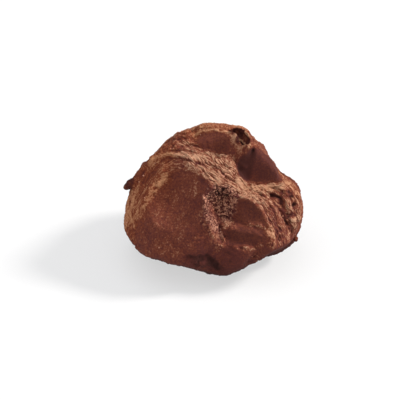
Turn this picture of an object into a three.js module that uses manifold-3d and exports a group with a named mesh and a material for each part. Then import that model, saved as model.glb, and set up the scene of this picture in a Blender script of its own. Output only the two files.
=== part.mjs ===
// Chocolate truffle: one hand-rolled lump of ganache under cocoa powder. Millimetres, +Z up, resting spot
// on Z = 0, +X is the right side and -Y the front. The lump is worked out as a distance from its heart in
// every direction: a faceted hull, a front of overlapping faceted blocks, swollen lobes, pressed hollows,
// pinched ridges and a little seeded unevenness. A spur and a crumb are joined on, a crater is cut in, and
// the foot is cut flat.

import * as THREE from "three";
import { mergeVertices } from "three/addons/utils/BufferGeometryUtils.js";
import { SimplexNoise } from "three/addons/math/SimplexNoise.js";
import Module from "manifold-3d";

// ---- driving dimensions (mm, degrees) -------------------------------------------------------------
const HEART_HEIGHT = 10.6; // distances are measured from the heart, which is this far above the rest
const EDGE_CRISPNESS = 55; // how sharply two flats meet: a higher power is a sharper edge
const JOIN_CRISPNESS = 60; // how sharply one front block rises from the next
const LOBE_CRISPNESS = 36; // how sharply a lobe rises from the lump
const HOLLOW_CRISPNESS = 70; // how sharp a hollow's rim is
const MESH_DETAIL = 22; // an icosahedron's edges are cut into this many pieces and one more
const SEED = 21;
const WAVES = [ // unevenness left by the palms: how long its waves are and how high
  { length: 6.5, height: 0.12 },
  { length: 2.6, height: 0.13 },
  { length: 1.5, height: 0.06 },
];

// Flats that the palms pressed. Azimuth 0 is +X and 90 is +Y; distance is heart to flat.
const hull = [
  { azimuth: 12, elevation: 17, distance: 12.9 }, // right
  { azimuth: 349, elevation: -15, distance: 14.6 },
  { azimuth: 312, elevation: -46, distance: 12.35 },
  { azimuth: 270, elevation: -55, distance: 12.65 }, // under the front
  { azimuth: 245, elevation: -52, distance: 12.05 },
  { azimuth: 262, elevation: -25, distance: 13.4 },
  { azimuth: 205, elevation: -32, distance: 14.9 },
  { azimuth: 191, elevation: -15, distance: 15.35 }, // left
  { azimuth: 171, elevation: 12, distance: 13.5 },
  { azimuth: 152, elevation: 36, distance: 12.15 },
  { azimuth: 122, elevation: 50, distance: 12.25 },
  { azimuth: 77, elevation: 54, distance: 12.45 },
  { azimuth: 26, elevation: 32, distance: 11.5 },
  { azimuth: 355, elevation: 41, distance: 12.5 },
  { azimuth: 60, elevation: 78, distance: 13.2 }, // top
  { azimuth: 90, elevation: 10, distance: 12.6 }, // back
  { azimuth: 50, elevation: -15, distance: 12.8 },
  { azimuth: 130, elevation: -10, distance: 13.0 },
  { azimuth: 90, elevation: -45, distance: 12.5 },
  { azimuth: 0, elevation: -60, distance: 12.5 },
];
const bigFacet = [ // the left half's face, gently bent
  { azimuth: 249, elevation: 39, distance: 9.8 },
  { azimuth: 249, elevation: 25, distance: 10.9 },
  { azimuth: 259, elevation: 5, distance: 11.9 },
  { azimuth: 215, elevation: 22, distance: 12.5 },
  { azimuth: 215, elevation: 45, distance: 11.5 },
];
// The front: inside the hull, whatever any one of these blocks covers, each bounded by its own flats.
const fronts = [
  [ // the left half
    ...bigFacet,
    { azimuth: 286, elevation: 79, distance: 10.3 }, // ledge at the foot of the crown
    { azimuth: 291, elevation: 48, distance: 9.55 }, // shelf
    { azimuth: 350, elevation: 23, distance: 2.1 }, // towards the middle
    { azimuth: 282, elevation: 11, distance: 10.2 }, // slope at the foot of its edge
  ],
  [ // the shelf
    ...bigFacet,
    { azimuth: 286, elevation: 79, distance: 10.3 }, // ledge at the foot of the crown
    { azimuth: 291, elevation: 48, distance: 9.55 }, // upper
    { azimuth: 324, elevation: 29, distance: 8.25 }, // lower
    { azimuth: 276, elevation: 5, distance: 6.9 }, // front wall
  ],
  [ // the crown's left block
    { azimuth: 262, elevation: 10, distance: 2.8 }, // front wall
    { azimuth: 315, elevation: -5, distance: 3.4 }, // right wall
    { azimuth: 235, elevation: 58, distance: 10.46 }, // left slope
  ],
  [ // the crown's right block
    { azimuth: 272, elevation: 11, distance: 4.07 }, // front wall
    { azimuth: 219, elevation: 24, distance: 2.0 }, // towards the middle
  ],
  [ // the right half
    { azimuth: 286, elevation: 79, distance: 5.9 }, // ledge
    { azimuth: 312, elevation: 48, distance: 9.2 }, // flank, upper
    { azimuth: 316, elevation: 28, distance: 11.4 }, // flank, lower
    { azimuth: 260, elevation: 20, distance: 6.65 }, // front wall
    { azimuth: 219, elevation: 24, distance: 2.0 }, // towards the middle
  ],
  [ // low in front
    { azimuth: 300, elevation: 78, distance: 2.4 }, // ledge
    { azimuth: 264, elevation: 15, distance: 8.5 }, // front wall
    { azimuth: 310, elevation: 22, distance: 12.1 }, // flank
    { azimuth: 219, elevation: 24, distance: 4.0 }, // towards the left
  ],
  [ // lowest in front
    { azimuth: 288, elevation: 71, distance: 1.7 }, // ledge
    { azimuth: 270, elevation: 5, distance: 10.7 }, // front wall
    { azimuth: 297, elevation: 11, distance: 12.3 }, // flank
    { azimuth: 219, elevation: 24, distance: 6.0 }, // towards the left
  ],
];
// Lobes: swellings, each a ball that stands out of the lump. reach is heart to the ball's far side.
const lobes = [
  { azimuth: 2, elevation: -14, reach: 15.2, radius: 6.6 }, // right
  { azimuth: 356, elevation: -27, reach: 15.2, radius: 5.6 }, // right, low and behind
  { azimuth: 100, elevation: -22, reach: 14.6, radius: 6.5 }, // back, low
  { azimuth: 66, elevation: 8, reach: 14.0, radius: 6.5 }, // back, right
];
// Hollows: pressed with a fingertip, each a ball's bite. reach is heart to the hollow's floor.
const hollows = [
  { azimuth: 285, elevation: 25, reach: 6.9, radius: 2.6 }, // middle
  { azimuth: 239, elevation: 34, reach: 8.7, radius: 12.0 }, // big facet
  { azimuth: 130, elevation: 22, reach: 11.7, radius: 8.0 }, // back, left
  { azimuth: 78, elevation: 2, reach: 12.0, radius: 7.0 }, // back
  { azimuth: 28, elevation: 8, reach: 12.2, radius: 4.5 }, // right, behind
  { azimuth: 160, elevation: -14, reach: 13.0, radius: 6.0 }, // left, behind
];
// Pinched ridges (height above 0) and creases (below), each along a path of [azimuth, elevation].
const strokes = [
  { path: [[264, 46], [259, 34], [261, 20], [269, 8]], width: 0.9, height: 0.4 }, // beside the middle
  { path: [[256, 52], [252, 42]], width: 1.3, height: -0.45 }, // big facet, beside the ridge
  { path: [[203, 44], [205, 26], [206, 12]], width: 0.6, height: 0.6 }, // left
  { path: [[181, 39], [186, 25]], width: 0.6, height: 0.45 }, // far left
  { path: [[305, 4], [312, 3], [314, -3], [313, -9]], width: 0.8, height: 0.5 }, // rim low on the right
  { path: [[337, 16], [335, 3], [331, -8]], width: 0.8, height: -1.3 }, // hollow before the right lobe
  { path: [[269, -18], [268, -26]], width: 1.6, height: -1.0 }, // cleft at the bottom
  { path: [[284, -13], [280, -17]], width: 0.9, height: -0.5 },
  { path: [[21, 63], [14, 61]], width: 0.5, height: 0.35 }, // beside the crater
  { path: [[5, 59], [354, 62]], width: 0.45, height: -0.4 }, // under it
  { path: [[8, 28], [349, 28], [343, 25]], width: 0.7, height: -0.5 }, // above the right lobe
  { path: [[298, -24], [303, -17], [308, -11]], width: 0.7, height: -0.9 }, // before the low lobe
  { path: [[153, 76], [142, 70], [130, 62]], width: 0.7, height: -0.7 }, // left of the crown
  { path: [[176, 56], [160, 52]], width: 0.7, height: -0.5 }, // left, high
  { path: [[356, 5], [14, 5]], width: 0.9, height: 0.4 }, // shoulder of the right lobe
  { path: [[350, 19], [12, 17]], width: 0.8, height: -0.75 }, // above it
  { path: [[150, 8], [128, 2], [108, 10]], width: 0.8, height: 0.5 }, // back
  { path: [[60, -8], [48, 12], [40, 34]], width: 0.9, height: 0.5 }, // back, right
  { path: [[100, 40], [84, 30], [70, 36]], width: 0.9, height: -0.6 }, // back, high
];
// Small blobs: size is half of each side; turn is the azimuth that the first side points to, and dip the
// angle by which it points down.
const CRATER = { azimuth: 3, elevation: 70, reach: 13.2, size: [1.25, 2.3, 1.9], turn: 36, dip: 0 };
const SPUR = { azimuth: 186.5, elevation: 19, reach: 13.6, size: [2.2, 0.95, 0.75], turn: 188, dip: 30 };
const CRUMB = { azimuth: 344, elevation: -20, reach: 15.0, size: [0.7, 0.4, 0.4], turn: 344, dip: 60 };

const heart = new THREE.Vector3(0, 0, HEART_HEIGHT);

function direction(azimuth, elevation) {
  const a = THREE.MathUtils.degToRad(azimuth);
  const e = THREE.MathUtils.degToRad(elevation);
  return new THREE.Vector3(Math.cos(a) * Math.cos(e), Math.sin(a) * Math.cos(e), Math.sin(e));
}
for (const facet of [...hull, ...fronts.flat()]) facet.normal = direction(facet.azimuth, facet.elevation);
function along({ azimuth, elevation }, distance) {
  return direction(azimuth, elevation).multiplyScalar(distance);
}
for (const ball of lobes) ball.centre = along(ball, ball.reach - ball.radius);
for (const ball of hollows) ball.centre = along(ball, ball.reach + ball.radius);
for (const stroke of strokes) stroke.points = stroke.path.map((point) => direction(...point));

function seededRandom(seed) {
  let state = seed;
  return () => {
    state = (state * 1664525 + 1013904223) % 4294967296;
    return state / 4294967296;
  };
}
const noise = new SimplexNoise({ random: seededRandom(SEED) });

// Closeness is one over the distance, so a flat facing away counts as nothing. What several flats all
// allow is the largest closeness; what either of two masses covers is the smallest. A power softens both.
function allowed(closenesses, crispness) {
  return closenesses.reduce((sum, q) => sum + q ** crispness, 0) ** (1 / crispness);
}
function covered(a, b, crispness) {
  if (a === 0 || b === 0) return 0;
  return (a ** -crispness + b ** -crispness) ** (-1 / crispness);
}
function flats(facets, way) {
  return allowed(facets.map((f) => Math.max(way.dot(f.normal), 0) / f.distance), EDGE_CRISPNESS);
}
// Where a way meets a ball: the distance to its near side (-1) or far side (1), or 0 if it misses.
function meets(ball, way, side) {
  const middle = way.dot(ball.centre);
  const spare = middle ** 2 - ball.centre.lengthSq() + ball.radius ** 2;
  if (middle < 0 || spare < 0) return 0;
  return middle + side * Math.sqrt(spare);
}

const segment = new THREE.Line3();
const nearest = new THREE.Vector3();
function strokeHeight(stroke, way, radius) {
  let angle = Infinity;
  for (let i = 1; i < stroke.points.length; i++) {
    segment.set(stroke.points[i - 1], stroke.points[i]).closestPointToPoint(way, true, nearest);
    angle = Math.min(angle, way.angleTo(nearest));
  }
  return stroke.height * Math.exp(-((angle * radius / stroke.width) ** 2));
}

function lumpRadius(way) {
  const front = fronts.map((facets) => flats(facets, way)).reduce((a, b) => covered(a, b, JOIN_CRISPNESS));
  let closeness = allowed([flats(hull, way), front], EDGE_CRISPNESS);
  for (const lobe of lobes) {
    const far = meets(lobe, way, 1);
    if (far > 0) closeness = covered(closeness, 1 / far, LOBE_CRISPNESS);
  }
  for (const hollow of hollows) {
    const near = meets(hollow, way, -1);
    if (near > 0) closeness = allowed([closeness, 1 / near], HOLLOW_CRISPNESS);
  }
  let radius = 1 / closeness;
  for (const stroke of strokes) radius += strokeHeight(stroke, way, 1 / closeness);
  for (const wave of WAVES) {
    const at = way.clone().multiplyScalar(radius / wave.length);
    radius += wave.height * noise.noise3d(at.x, at.y, at.z);
  }
  return radius;
}

function plain(shape) {
  shape.deleteAttribute("normal");
  shape.deleteAttribute("uv");
  return mergeVertices(shape, 1e-5);
}

function lump() {
  const shape = plain(new THREE.IcosahedronGeometry(1, MESH_DETAIL));
  const place = shape.getAttribute("position");
  const way = new THREE.Vector3();
  for (let i = 0; i < place.count; i++) {
    way.fromBufferAttribute(place, i).normalize();
    way.multiplyScalar(lumpRadius(way)).add(heart);
    place.setXYZ(i, way.x, way.y, way.z);
  }
  return shape;
}

function blob(place, detail) {
  const shape = plain(new THREE.IcosahedronGeometry(1, detail));
  shape.scale(...place.size);
  shape.rotateY(THREE.MathUtils.degToRad(place.dip));
  shape.rotateZ(THREE.MathUtils.degToRad(place.turn));
  const centre = along(place, place.reach).add(heart);
  return shape.translate(centre.x, centre.y, centre.z);
}

const wasm = await Module();
wasm.setup();
function solid(shape) {
  return new wasm.Manifold(new wasm.Mesh({
    numProp: 3,
    vertProperties: Float32Array.from(shape.getAttribute("position").array),
    triVerts: Uint32Array.from(shape.getIndex().array),
  }));
}

const below = plain(new THREE.BoxGeometry(60, 60, 20)).translate(0, 0, -10);
const proud = solid(lump()).add(solid(blob(SPUR, 4))).add(solid(blob(CRUMB, 2)));
const whole = proud.subtract(solid(blob(CRATER, 5))).subtract(solid(below));
const mesh = whole.getMesh();
const geometry = new THREE.BufferGeometry();
geometry.setAttribute("position", new THREE.BufferAttribute(Float32Array.from(mesh.vertProperties), 3));
geometry.setIndex(new THREE.BufferAttribute(Uint32Array.from(mesh.triVerts), 1));
geometry.computeBoundingBox();
const middle = geometry.boundingBox.getCenter(new THREE.Vector3());
geometry.translate(-middle.x, -middle.y, 0);
geometry.computeVertexNormals();

const cocoa = new THREE.MeshStandardMaterial({ color: 0x6b3f2c, roughness: 0.95, metalness: 0 });
const truffle = new THREE.Mesh(geometry, cocoa);
truffle.name = "truffle";
const part = new THREE.Group();
part.add(truffle);
export default part;
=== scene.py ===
import math

import bpy
import numpy as np
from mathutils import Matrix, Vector, noise


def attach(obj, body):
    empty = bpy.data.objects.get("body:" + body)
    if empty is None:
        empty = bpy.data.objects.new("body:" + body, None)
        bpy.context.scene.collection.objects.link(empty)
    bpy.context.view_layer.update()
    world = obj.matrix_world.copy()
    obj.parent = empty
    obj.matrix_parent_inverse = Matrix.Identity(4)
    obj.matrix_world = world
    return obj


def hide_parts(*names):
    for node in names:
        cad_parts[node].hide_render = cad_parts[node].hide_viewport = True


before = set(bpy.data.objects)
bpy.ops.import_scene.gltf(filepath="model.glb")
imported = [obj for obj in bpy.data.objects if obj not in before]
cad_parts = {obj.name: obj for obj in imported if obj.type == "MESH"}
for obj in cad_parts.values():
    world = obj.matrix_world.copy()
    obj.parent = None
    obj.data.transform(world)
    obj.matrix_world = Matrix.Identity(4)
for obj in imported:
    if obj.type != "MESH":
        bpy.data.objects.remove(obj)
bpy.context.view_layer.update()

bl_info = {
    "name": "Cocoa Truffle",
    "version": (1, 0, 0),
    "blender": (4, 5, 0),
    "location": "3D View > Sidebar > Truffle",
    "description": "Coats a hand-rolled ganache lump with cocoa powder and sets it on a pale floor",
    "category": "Object",
}

MM = 0.001
NODE = "truffle"
BODY = "root"

# The lump is shaped round its heart: a way from there is an azimuth (0 right, 90 back, 180 left, 270 front)
# and an elevation, in degrees.
HEART = np.array((-0.123, -1.057, 10.6)) * MM

# Faces pressed smooth, where the powder has gone into the moist ganache: outline and strength, 0 to 1. Their
# darker colour is partly painted shade, as on the front they lie in shaded hollows; the top of the big facet
# is darkened partly as painted shade.
PRESSED = {
    "crown_wall": ([(160, 76), (141, 80), (63, 86), (15, 82), (345, 79), (336, 77), (334, 74), (336, 68),
                    (326, 74), (275, 82), (216, 79), (185, 77)], 0.9),
    "upper_right_wall": ([(343, 62), (347, 58), (355, 52), (357, 45), (357, 39), (357, 32), (355, 26),
                          (349, 25), (346, 26), (340, 32), (334, 39), (325, 46), (322, 53), (323, 58),
                          (330, 62), (337, 64)], 1.0),
    "middle_right_facet": ([(303, 29), (312, 29), (316, 22), (317, 13), (317, 4), (313, 3), (304, 5),
                            (296, 5), (298, 15)], 0.9),
    "lower_right_hollow": ([(282, 0), (295, 3), (307, 3), (312, 1), (312, -2), (310, -7), (305, -11),
                            (299, -10), (294, -10), (283, -11)], 1.0),
    "big_facet": ([(208, 31), (211, 47), (243, 58), (265, 52), (267, 42), (257, 36), (256, 22), (259, 11),
                   (269, -3), (276, -22), (262, -40), (238, -38), (220, -26), (207, -6), (208, 10)], 0.4),
    "big_facet_top": ([(209, 44), (222, 54), (243, 57), (263, 51), (267, 42), (257, 36), (241, 42),
                       (224, 39), (214, 29)], 0.65),
    "below_right_hollow": ([(280, -12), (296, -12), (306, -13), (298, -22), (287, -38), (276, -20)], 0.75),
    "low_lobe": ([(305, -13), (311, -11), (321, -11), (334, -13), (338, -28), (332, -34), (307, -17)], 0.9),
    "back_face": ([(60, 45), (85, 55), (110, 45), (115, 20), (100, 0), (75, 5), (60, 20)], 0.75),
    "back_left_face": ([(133, 30), (155, 36), (166, 12), (158, -15), (138, -12), (128, 10)], 0.65),
    "back_low_face": ([(80, -8), (108, -6), (118, -25), (90, -38), (68, -25)], 0.8),
    "back_right_face": ([(18, 48), (36, 52), (47, 28), (38, 4), (22, 8), (14, 26)], 0.6),
}
# Torn, crumbly places: outline and strength.
CRUMBLY = {
    "middle_hollow": ([(271, 48), (289, 48), (306, 39), (306, 31), (300, 25), (296, 12), (291, 6), (281, 8),
                       (271, 23), (264, 38)], 1.0),
    "grainy_ridge": ([(262, 44), (268, 40), (266, 27), (271, 13), (279, 0), (281, -6), (278, -8),
                      (271, 4), (264, 16), (259, 25), (257, 31), (258, 38)], 0.9),
    "back_tear": ([(114, 14), (122, 16), (127, 4), (124, -8), (116, -6), (112, 4)], 1.0),
}
# Places where cocoa butter gave the powder a warm tint: outline and strength.
WARM = {
    "left_side": ([(185, 62), (205, 54), (214, 42), (216, 20), (214, -5), (210, -30), (150, -30),
                   (140, 40)], 1.0),
    "crown": ([(170, 62), (190, 78), (20, 84), (350, 70), (20, 60), (90, 55), (140, 55)], 0.8),
    "crater_side": ([(355, 82), (335, 77), (334, 64), (350, 62), (0, 70)], 0.35),
    "right_lobe": ([(345, 24), (350, 0), (340, -20), (10, -25), (30, 30)], 0.5),
    "band_end": ([(318, 46), (332, 40), (345, 30), (357, 22), (345, 18), (332, 22), (318, 33)], 0.4),
}
# The crater, where the ganache stays moist and dark, with painted shade in it too, and places darkened as
# painted shade: the upper right wall and its foot, and the top of the middle hollow: outline and strength.
MOIST_AND_SHADED = {
    "crater": ([(2, 79), (18, 77), (32, 71), (22, 67), (8, 65), (356, 63), (344, 66), (345, 74)], 1.15),
    "upper_right_wall": ([(325, 46), (322, 53), (323, 58), (330, 62), (337, 64), (343, 62), (345, 55),
                          (340, 47), (334, 42)], 0.5),
    "upper_right_foot": ([(343, 62), (357, 50), (357, 32), (349, 25), (338, 34), (340, 47), (345, 55)],
                         0.15),
    "top_of_middle_hollow": ([(269, 47), (289, 47), (293, 38), (277, 34), (268, 38)], 0.3),
}
# The spur's tip, darkened as painted shade: outline, strength and how far from the heart it begins, and the
# length over which it comes in, both in mm.
SPUR_TIP = ([(180, 26), (195, 26), (196, 11), (181, 9)], 1.05, 13.8)
SPUR_TIP_FADE = 0.8
# The crest of the grainy ridge, left of the middle hollow.
RIDGE_CREST = [(267, 46), (259, 38), (259, 31), (261, 25), (266, 17), (273, 5), (278, -4)]
# Bands along which the powder was dragged: path, half width in mm, how thick the powder lies and how strong
# the streaks are. Their order sets the seeds of the streaks.
DRAGGED = {
    "right_band": ([(207, 77), (265, 76), (293, 62), (316, 46), (330, 29), (338, 18)], 2.0, 0.8, 1.0),
    "right_end": ([(328, 33), (334, 20), (337, 9), (334, -2), (330, -14)], 1.6, 0.0, 1.0),
    "middle_band": ([(195, 66), (246, 64), (270, 55), (290, 46), (310, 33), (320, 22), (325, 12)],
                    1.5, 0.9, 1.0),
    "lower_band": ([(312, 33), (322, 18), (322, 4), (320, -8), (316, -16)], 1.5, 0.0, 1.0),
    "ledge": ([(183, 46), (195, 58), (217, 67), (250, 78), (334, 72)], 1.0, 1.0, 0.8),
    "grainy_ridge": (RIDGE_CREST, 0.8, 0.0, 0.5),
    "band_end": ([(300, 56), (318, 44), (332, 33), (342, 25), (352, 19)], 1.1, 1.0, 0.8),
    "left_slope": ([(160, 62), (172, 66), (190, 72), (240, 82)], 1.6, 0.5, 0.8),
    "right_lobe": ([(354, 28), (356, 16), (352, 4), (343, -6), (336, -16)], 1.8, 0.8, 1.0),
    "right_lobe_middle": ([(344, 27), (346, 18), (344, 10), (341, 2), (336, -8), (331, -18)],
                          1.0, 0.25, 1.0),
    "right_rim": ([(350, 76), (357, 60), (357, 48), (352, 30)], 1.2, 0.1, 0.6),
    "left_sweep": ([(200, -22), (201, 8), (200, 22), (196, 36), (202, 50), (228, 66)], 2.2, 0.4, 0.6),
    "crown_wall": ([(290, 88), (270, 84), (270, 76), (272, 68)], 3.5, 0.05, 0.3),
    "crater_side": ([(40, 85), (5, 79), (351, 75), (346, 70), (346, 66), (340, 61)], 0.5, 1.0, 1.0),
    "facet_sweep": ([(228, -30), (231, 5), (231, 33), (232, 60)], 4.0, 0.3, 0.5),
    "back_band": ([(20, 66), (50, 56), (90, 64), (120, 50), (142, 40), (165, 30)], 1.7, 0.8, 1.0),
    "back_right_band": ([(50, 52), (54, 34), (52, 14), (56, -4), (64, -20)], 1.5, 0.6, 1.0),
    "back_left_band": ([(118, 52), (122, 34), (121, 16), (126, -4), (124, -22)], 1.5, 0.6, 1.0),
    "low_back_band": ([(20, -14), (46, -10), (80, -2), (112, -2), (140, -18), (165, -20)], 1.3, 0.3, 0.8),
}
# Single marks: path, half width and height in mm, less than 0 for a groove, and how much powder they gain, or
# lose if it is less than 0. The darkening where a groove loses powder is partly painted shade in it, and some
# marks gain or lose only as painted light or painted shade.
MARKS = {
    # the ledge, the big facet and the left side
    "ledge_edge": ([(185, 37), (184, 43), (189, 52), (203, 60), (219, 67), (246, 74)], 0.4, 0.2, 0.5),
    # A groove darkened as painted shade under the ledge.
    "under_ledge": ([(189, 47), (198, 54), (210, 60), (227, 64), (247, 66)], 0.3, -0.3, -0.6),
    "facet_rim": ([(206, 8), (209, 15), (208, 22), (205, 34), (206, 43), (211, 51), (225, 57), (243, 57)],
                  0.2, 0.12, 0.4),
    "facet_rim_right": ([(243, 57), (263, 52), (271, 44), (271, 38)], 0.22, 0.15, 0.3),
    "dark_blotch": ([(191, 26), (192, 31), (194, 35)], 0.8, -0.1, -0.5),
    "left_crease_1": ([(189, 34), (193, 20), (196, 5), (200, -2), (206, -6)], 0.22, 0.12, 0.6),
    "left_crease_2": ([(206, 40), (206, 30), (207, 20), (209, 11), (209, 4)], 0.22, 0.15, 0.6),
    "left_crease_3": ([(201, 24), (202, 12), (204, 2)], 0.2, 0.1, 0.5),
    "left_dip": ([(172, 34), (184, 34), (190, 35)], 0.6, -0.4, 0.0),
    # Painted light: paler powder on the left edge, standing for light from the surroundings.
    "left_edge": ([(188, 16), (191, 2), (196, -8)], 1.0, 0.1, 0.55),
    # grooves in the bands, and rims of the facet and the hollow right of the middle
    "groove_1": ([(251, 69), (276, 65), (295, 54), (312, 42)], 0.2, -0.25, -0.4),
    "groove_2": ([(266, 73), (299, 65), (314, 55)], 0.2, -0.25, -0.4),
    "groove_3": ([(325, 39), (327, 28), (329, 19), (327, 9), (325, 1), (322, -6)], 0.22, -0.3, -0.5),
    "groove_4": ([(333, 28), (340, 17), (340, 10), (338, 2)], 0.22, -0.3, -0.5),
    "groove_5": ([(331, 31), (343, 23), (345, 16)], 0.2, -0.25, -0.4),
    "facet_stripe": ([(309, 31), (314, 24), (316, 14), (317, 6), (317, -2)], 0.35, 0.25, 0.6),
    "hollow_rim": ([(306, 5), (311, 4), (313, 1), (315, -2), (316, -6), (314, -9)], 0.25, 0.25, 0.65),
    "hollow_rim_low": ([(295, -11), (299, -11), (306, -12), (310, -8), (313, -5)], 0.22, 0.15, 0.3),
    # the ridge, the bands and the right lobe
    "grainy_ridge": (RIDGE_CREST + [(279, -9)], 0.22, 0.3, 0.4),
    # Painted shade: the grainy ridge is made darker where it faces the key lamp.
    "ridge_painted_shade": ([(263, 30), (267, 18), (274, 6), (279, -3)], 0.8, 0.0, -0.45),
    "band_glow": ([(318, 45), (328, 37), (336, 30), (346, 22)], 0.9, 0.1, 0.8),
    # Painted light: the right lobe is made paler, standing for light on it.
    "lobe_painted_glow": ([(2, 22), (358, 8), (350, -8)], 1.4, 0.0, 0.25),
    # Painted shade: the band is made darker where it faces the key lamp.
    "band_painted_shade": ([(317, 20), (321, 8), (321, -4), (317, -13)], 1.4, 0.0, -0.3),
    "hollow_groove_1": ([(340, 15), (339, 10), (337, 5), (335, 1), (334, -3)], 0.35, -0.35, -0.6),
    "hollow_groove_2": ([(338, 1), (335, -2), (334, -6), (333, -9), (331, -13)], 0.3, -0.35, -0.7),
    "hollow_strand": ([(343, 20), (342, 12), (340, 4), (338, -2), (336, -8)], 0.14, 0.1, 0.3),
    "hollow_groove_3": ([(338, 17), (342, 15), (345, 11)], 0.35, -0.3, -0.6),
    "hollow_ridge": ([(341, 10), (339, 5), (337, 0), (334, -6)], 0.15, 0.2, 0.6),
    "lobe_line_1": ([(357, 17), (349, 13), (344, 5), (338, 0)], 0.15, -0.25, -0.6),
    "lobe_line_2": ([(4, 13), (357, 8), (348, 3), (341, -2)], 0.15, -0.25, -0.6),
    "lobe_crease": ([(349, 15), (353, 6), (353, -4)], 0.22, -0.25, -0.5),
    # the upper right wall and the crater
    # wall_notch is a groove darkened as painted shade in the notch, and wall_foot a groove darkened as a
    # painted shadow line along the wall's foot.
    "wall_notch": ([(328, 64), (325, 59), (327, 56)], 0.3, -0.3, -0.8),
    "smudge": ([(332, 62), (332, 57), (335, 54)], 0.2, 0.1, 0.4),
    "wall_foot": ([(322, 43), (332, 37), (338, 32), (344, 27), (348, 25)], 0.2, -0.15, -0.7),
    "crater_side": ([(20, 82), (2, 78), (351, 75), (346, 70), (345, 66), (340, 62)], 0.35, 0.4, 0.8),
    "crater_inner_lip": ([(26, 70), (18, 68), (12, 66), (5, 65), (353, 63), (348, 63)], 0.14, 0.2, 1.7),
    # The crater's floor is sunk and darkened as painted shade.
    "crater_floor": ([(18, 76), (3, 74), (353, 71), (349, 67)], 0.5, -0.5, -1.0),
    # The upper right rim is made darker as painted shade where it faces the key lamp.
    "upper_right_rim": ([(358, 59), (357, 54), (357, 48), (356, 41)], 0.5, 0.15, -0.3),
    # shades and glows on the big facet
    "facet_shade_1": ([(206, 45), (210, 48), (218, 52), (228, 50)], 0.9, -0.05, -0.3),
    "facet_shade_2": ([(256, 36), (252, 20), (256, 4), (262, -8)], 1.7, 0.0, -0.3),
    "facet_shade_3": ([(205, 30), (210, 10), (222, -8)], 1.2, 0.0, -0.15),
    "facet_shade_4": ([(251, 53), (262, 49), (265, 44), (263, 37)], 0.6, -0.05, -0.8),
    "facet_glow": ([(226, 50), (238, 50), (245, 40)], 1.0, 0.05, 0.5),
    # the shoulder, the left slope and the crown
    "shoulder_line": ([(347, 14), (351, 7), (350, 3)], 0.22, -0.25, -0.5),
    "slope_groove_1": ([(181, 57), (175, 61), (172, 64)], 0.25, -0.3, -0.5),
    "slope_groove_2": ([(168, 62), (167, 70), (173, 76)], 0.25, -0.3, -0.5),
    "slope_groove_3": ([(186, 64), (184, 71), (193, 76)], 0.2, -0.25, -0.4),
    "slope_groove_4": ([(186, 54), (193, 62), (207, 70)], 0.2, -0.25, -0.4),
    "cap_line": ([(150, 73), (130, 82), (47, 85), (11, 78)], 0.25, 0.15, 0.5),
    "cap_powder": ([(142, 74), (112, 78), (72, 68), (41, 68)], 1.6, 0.1, 0.35),
    # the back
    "back_face_rim": ([(61, 20), (62, 46), (85, 56), (111, 46), (116, 20)], 0.25, 0.2, 0.4),
    "back_face_foot": ([(62, 18), (76, 4), (100, -2), (114, 16)], 0.25, 0.15, 0.3),
    "back_left_rim": ([(130, 10), (134, 31), (156, 37), (167, 12), (159, -14)], 0.25, 0.15, 0.35),
    "back_right_rim": ([(15, 26), (19, 49), (36, 53), (48, 28), (39, 3)], 0.25, 0.15, 0.3),
    "back_groove_1": ([(30, 60), (54, 54), (88, 61), (116, 48)], 0.22, -0.3, -0.5),
    "back_groove_2": ([(50, 44), (52, 26), (49, 8), (54, -10)], 0.22, -0.3, -0.5),
    "back_groove_3": ([(124, 44), (127, 24), (124, 6), (129, -12)], 0.22, -0.3, -0.5),
    "back_groove_4": ([(130, 52), (150, 46), (170, 40)], 0.22, -0.3, -0.5),
    # low on the front, and the right edge
    "low_streak_1": ([(247, 0), (254, 1), (262, 0)], 0.2, 0.08, 0.35),
    "low_streak_2": ([(233, -9), (236, -12), (240, -16)], 0.18, 0.08, 0.35),
    # The cleft is a groove darkened as painted shade, and cleft_shade a wider painted shade round it.
    "cleft": ([(250, -15), (258, -16), (266, -21), (272, -24), (273, -28)], 0.35, -0.3, -0.9),
    "cleft_shade": ([(256, -19), (264, -24), (274, -26), (281, -21), (286, -16)], 1.3, -0.1, -0.85),
    # Painted shade along the right edge.
    "right_edge": ([(16, 14), (9, 8), (2, 5), (355, 1), (348, -3), (342, -7), (338, -12)], 0.7, 0.0, -0.7),
}
# Small pits: azimuth, elevation, radius in mm and depth in mm.
PITS = (
    # in the middle hollow
    (275, 42, 0.4, 0.4), (280, 38, 0.35, 0.4), (285, 43, 0.4, 0.4), (289, 37, 0.35, 0.4),
    # in the upper right wall
    (345, 58, 0.4, 0.5), (342, 64, 0.2, 0.3),
    # in the right lobe
    (348, 15, 0.25, 0.4), (347, 11, 0.3, 0.4), (345, 6, 0.3, 0.5), (343, 1, 0.25, 0.4), (339, -3, 0.3, 0.4),
    (355, 12, 0.2, 0.3), (352, 5, 0.25, 0.4), (358, 3, 0.25, 0.4), (348, -3, 0.25, 0.4), (2, -3, 0.2, 0.3),
    (352, -9, 0.25, 0.3),
    # at the back and sides
    (52, 40, 0.35, 0.4), (44, -4, 0.3, 0.4), (92, 68, 0.3, 0.4), (146, 50, 0.4, 0.5), (100, -10, 0.3, 0.4),
    (66, -6, 0.35, 0.4), (172, 24, 0.3, 0.4), (18, 0, 0.3, 0.4), (124, 30, 0.3, 0.4),
)
# How much powder a pit loses; its darker colour is painted shade in the pit.
PIT_SHADE = 1.2

# An outline is laid flat on a plane across its middle, with axes square to any slanting direction. Ways whose
# share towards its middle is less than FACING, about 80 degrees off, miss the plane.
SLANT = (0.3, 0.9, 0.3)
FACING = 0.15
# How softly the outlines end, in mm.
PRESSED_EDGE = 0.6
CRUMBLY_EDGE = 0.7
WARM_EDGE = 3.0
MOIST_AND_SHADED_EDGE = 0.6
# Outlines and paths wander by this much, over this length, in mm.
STRAY = 0.3
STRAY_LENGTH = 1.4
STRAY_SEEDS = (1, 2, 3)
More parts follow.
